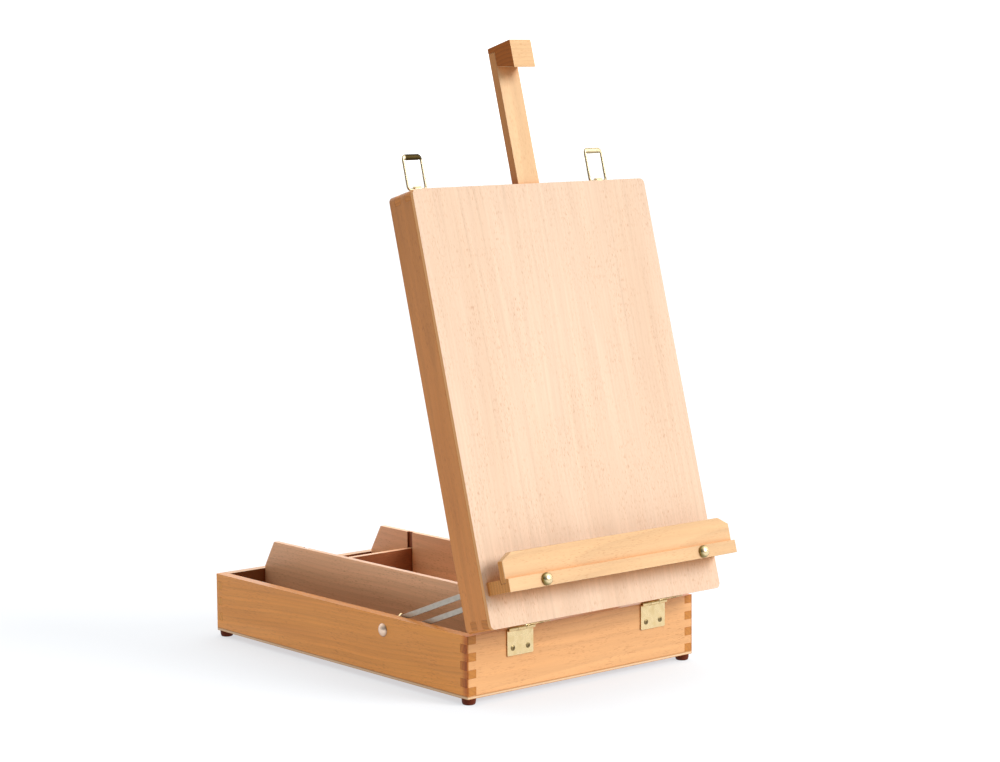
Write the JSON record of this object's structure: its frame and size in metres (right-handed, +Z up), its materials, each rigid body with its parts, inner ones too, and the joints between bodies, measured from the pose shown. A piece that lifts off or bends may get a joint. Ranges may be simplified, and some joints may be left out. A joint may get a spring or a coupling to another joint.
{
  "type": "table easel box",
  "caption": "Wooden paint box whose hinged lid stands up as a canvas easel, with a ledge, a sliding mast with a head block, slotted stays, dividers, latches and a handle.",
  "frame": {"origin": "on the table, at the middle of the footprint of the whole open easel's bounding box", "axes": "+Z up; +X to the artist's right; -Y towards the artist, who faces the canvas board; the box runs back along +Y"},
  "size_m": [0.2866, 0.4731, 0.5946],
  "materials": {
    "beech": "satin lacquer",
    "beech_inside": "satin lacquer",
    "beech_lid": "satin lacquer",
    "beech_ledge": "satin lacquer",
    "beech_board": "satin lacquer",
    "plywood": "matte",
    "brass": "polished",
    "aluminium": "satin",
    "zinc_steel": "satin",
    "dark_foot": "satin",
    "handle_leather": "satin"
  },
  "bodies": {
    "box": {"box_wall_left": "beech", "box_wall_right": "beech", "box_wall_front": "beech", "box_wall_back": "beech", "bottom_panel": "plywood", "foot_front_left": "dark_foot", "foot_front_right": "dark_foot", "foot_back_left": "dark_foot", "foot_back_right": "dark_foot", "divider_left": "beech_inside", "divider_right": "beech_inside", "cross_divider": "beech_inside", "hinge_box_leaf_left": "brass", "hinge_box_leaf_right": "brass", "hinge_pin_left": "brass", "hinge_pin_right": "brass", "hinge_screw_left_a": "brass", "hinge_screw_left_b": "brass", "hinge_screw_right_a": "brass", "hinge_screw_right_b": "brass", "stay_bolt_left": "brass", "stay_bolt_right": "brass", "latch_base_left": "brass", "latch_base_right": "brass", "handle_bracket_left": "brass", "handle_bracket_right": "brass"},
    "lid": {"lid_rail_left": "beech_lid", "lid_rail_right": "beech_lid", "lid_rail_front": "beech_lid", "lid_rail_back": "beech_lid", "canvas_board": "beech_board", "hinge_lid_leaf_left": "brass", "hinge_lid_leaf_right": "brass", "latch_plate_left": "brass", "latch_plate_right": "brass", "stay_stud_left": "brass", "stay_stud_right": "brass", "mast_guide": "beech_inside", "ledge_shelf": "beech_ledge", "ledge_lip": "beech_ledge", "ledge_nut_left": "zinc_steel", "ledge_nut_right": "zinc_steel"},
    "mast": {"mast": "beech_ledge", "mast_head": "beech_ledge"},
    "mast_clamp_knob": {"mast_clamp_knob": "brass"},
    "ledge_thumbscrew_left": {"ledge_thumbscrew_left": "brass"},
    "ledge_thumbscrew_right": {"ledge_thumbscrew_right": "brass"},
    "latch_bail_left": {"latch_bail_left": "brass"},
    "latch_bail_right": {"latch_bail_right": "brass"},
    "latch_lever_left": {"latch_lever_left": "brass"},
    "latch_lever_right": {"latch_lever_right": "brass"},
    "wing_nut_left": {"wing_nut_left": "brass"},
    "wing_nut_right": {"wing_nut_right": "brass"},
    "stay_left": {"stay_left": "aluminium", "stay_rivet_left": "brass"},
    "stay_right": {"stay_right": "aluminium", "stay_rivet_right": "brass"},
    "carry_handle": {"carry_handle": "handle_leather"}
  },
  "joints": [
    {"name": "lid_hinge", "type": "hinge", "parent": "box", "child": "lid", "pos_m": [0, -0.177, 0.064], "axis": [1, 0, 0], "range_deg": [-74.7, 0]},
    {"name": "mast_slide", "type": "slide", "parent": "lid", "child": "mast", "axis": [0, 0.2639, 0.9646], "range_m": [-0.111, 0.15]},
    {"name": "mast_clamp_turn", "type": "hinge", "parent": "lid", "child": "mast_clamp_knob", "pos_m": [0, -0.09485, 0.41735], "axis": [0, 0.9646, -0.2639], "range_deg": [-180, 180]},
    {"name": "ledge_thumbscrew_turn_left", "type": "hinge", "parent": "lid", "child": "ledge_thumbscrew_left", "pos_m": [-0.095, -0.23147, 0.11882], "axis": [0, -0.9646, 0.2639], "range_deg": [-180, 180]},
    {"name": "ledge_thumbscrew_turn_right", "type": "hinge", "parent": "lid", "child": "ledge_thumbscrew_right", "pos_m": [0.099, -0.23147, 0.11882], "axis": [0, -0.9646, 0.2639], "range_deg": [-180, 180]},
    {"name": "latch_bail_swing_left", "type": "hinge", "parent": "lid", "child": "latch_bail_left", "pos_m": [-0.1135, -0.07719, 0.45917], "axis": [1, 0, 0], "range_deg": [-90, 85]},
    {"name": "latch_bail_swing_right", "type": "hinge", "parent": "lid", "child": "latch_bail_right", "pos_m": [0.1085, -0.07719, 0.45917], "axis": [1, 0, 0], "range_deg": [-90, 85]},
    {"name": "latch_lever_swing_left", "type": "hinge", "parent": "box", "child": "latch_lever_left", "pos_m": [-0.1135, 0.2285, 0.05], "axis": [1, 0, 0], "range_deg": [0, 135]},
    {"name": "latch_lever_swing_right", "type": "hinge", "parent": "box", "child": "latch_lever_right", "pos_m": [0.1085, 0.2285, 0.05], "axis": [1, 0, 0], "range_deg": [0, 135]},
    {"name": "stay_slide_left", "type": "slide", "parent": "box", "child": "stay_left", "axis": [0, 0.9336, -0.3584], "range_m": [0, 0.04972]},
    {"name": "stay_slide_right", "type": "slide", "parent": "box", "child": "stay_right", "axis": [0, 0.9336, -0.3584], "range_m": [0, 0.04972]},
    {"name": "wing_nut_turn_left", "type": "hinge", "parent": "box", "child": "wing_nut_left", "pos_m": [-0.1266, -0.0505, 0.0503], "axis": [1, 0, 0], "range_deg": [-180, 180]},
    {"name": "wing_nut_turn_right", "type": "hinge", "parent": "box", "child": "wing_nut_right", "pos_m": [0.1266, -0.0505, 0.0503], "axis": [-1, 0, 0], "range_deg": [-180, 180]},
    {"name": "carry_handle_swing", "type": "hinge", "parent": "box", "child": "carry_handle", "pos_m": [0, 0.232, 0.048], "axis": [1, 0, 0], "range_deg": [0, 95]}
  ],
  "couplings": [
    {"joint": "stay_slide_left", "follows": "lid_hinge", "m_per_rad": -0.0381},
    {"joint": "stay_slide_right", "follows": "lid_hinge", "m_per_rad": -0.0381}
  ]
}
